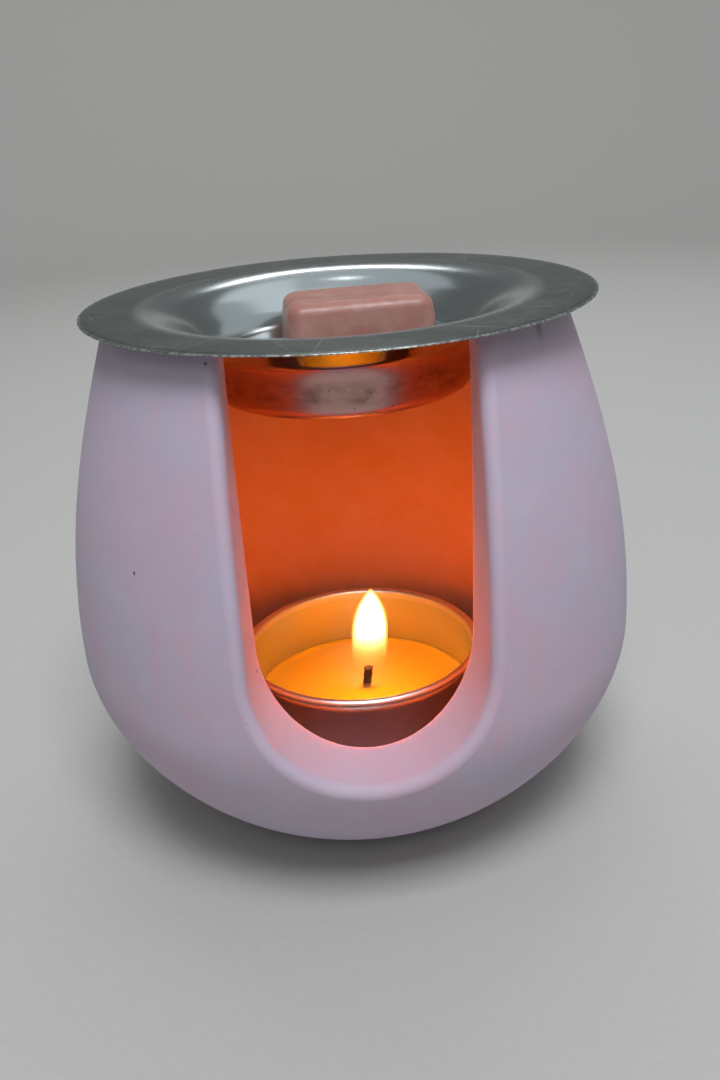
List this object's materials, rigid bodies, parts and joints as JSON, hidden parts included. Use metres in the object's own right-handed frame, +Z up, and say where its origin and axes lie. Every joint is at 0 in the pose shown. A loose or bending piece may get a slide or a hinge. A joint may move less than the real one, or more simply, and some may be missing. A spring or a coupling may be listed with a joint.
{
  "type": "wax warmer pot",
  "caption": "Barrel-shaped cast pot with a U-shaped front opening, a loose pressed wax dish on its rim with a wax block in it, and a tealight inside",
  "frame": {"origin": "middle of the pot's flat base, on the surface that it stands on", "axes": "+Z up along the pot's axis, the front opening faces -Y, +X to the right seen from the front"},
  "size_m": [0.084, 0.0824, 0.078],
  "materials": {
    "cast_ceramic": "matt, chalky, unglazed, tinted lilac pink all through",
    "dish_steel": "bright pressed sheet, scuffed and dusty on the flange",
    "wax_melt": "dusty pink soft wax, slightly waxy sheen",
    "cup_foil": "thin bright drawn foil",
    "candle_wax": "paraffin wax, melted and clear on top",
    "wick_cotton": "braided cotton, charred at the tip",
    "tab_steel": "tinned stamped tab"
  },
  "bodies": {
    "pot": {"pot_body": "cast_ceramic"},
    "dish": {"wax_dish": "dish_steel"},
    "melt": {"wax_melt_cube": "wax_melt"},
    "tealight": {"tealight_cup": "cup_foil", "tealight_wax": "candle_wax", "wick": "wick_cotton", "wick_sustainer": "tab_steel"}
  },
  "joints": [
    {"name": "dish_lift", "type": "slide", "parent": "pot", "child": "dish", "axis": [0, 0, 1], "range_m": [0, 0.12]},
    {"name": "melt_lift", "type": "slide", "parent": "dish", "child": "melt", "axis": [0, 0, 1], "range_m": [0, 0.03]},
    {"name": "tealight_lift", "type": "slide", "parent": "pot", "child": "tealight", "axis": [0, 0, 1], "range_m": [0, 0.078]}
  ],
  "couplings": [
    {"joint": "tealight_lift", "follows": "dish_lift", "ratio": 0.65}
  ]
}
